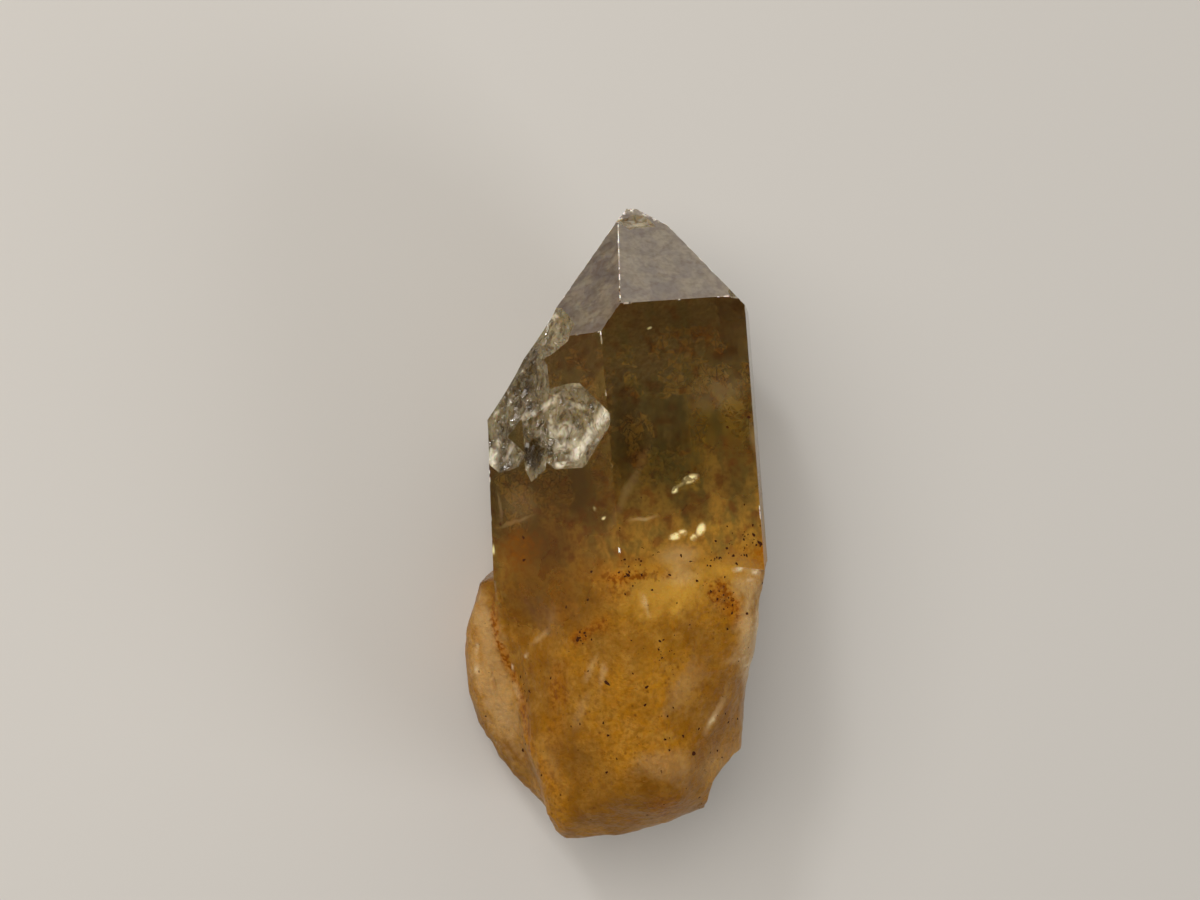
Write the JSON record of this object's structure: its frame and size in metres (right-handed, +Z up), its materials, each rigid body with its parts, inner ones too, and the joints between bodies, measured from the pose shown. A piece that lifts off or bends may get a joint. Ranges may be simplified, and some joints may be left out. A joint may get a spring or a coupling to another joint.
{
  "type": "citrine crystal",
  "caption": "Natural smoky citrine quartz point with a faceted tip, a broken cloudy root and a side stub, lying on a prism face.",
  "frame": {"origin": "middle of the bounding box at the level of the resting prism face", "axes": "+Y along the crystal's long axis towards the tip, +Z up from the face it rests on"},
  "size_m": [0.041, 0.0776, 0.0315],
  "materials": {
    "smoky_citrine": "natural crystal faces, glossy above and frosted on the broken root"
  },
  "bodies": {
    "root": {"crystal": "smoky_citrine"}
  },
  "joints": []
}
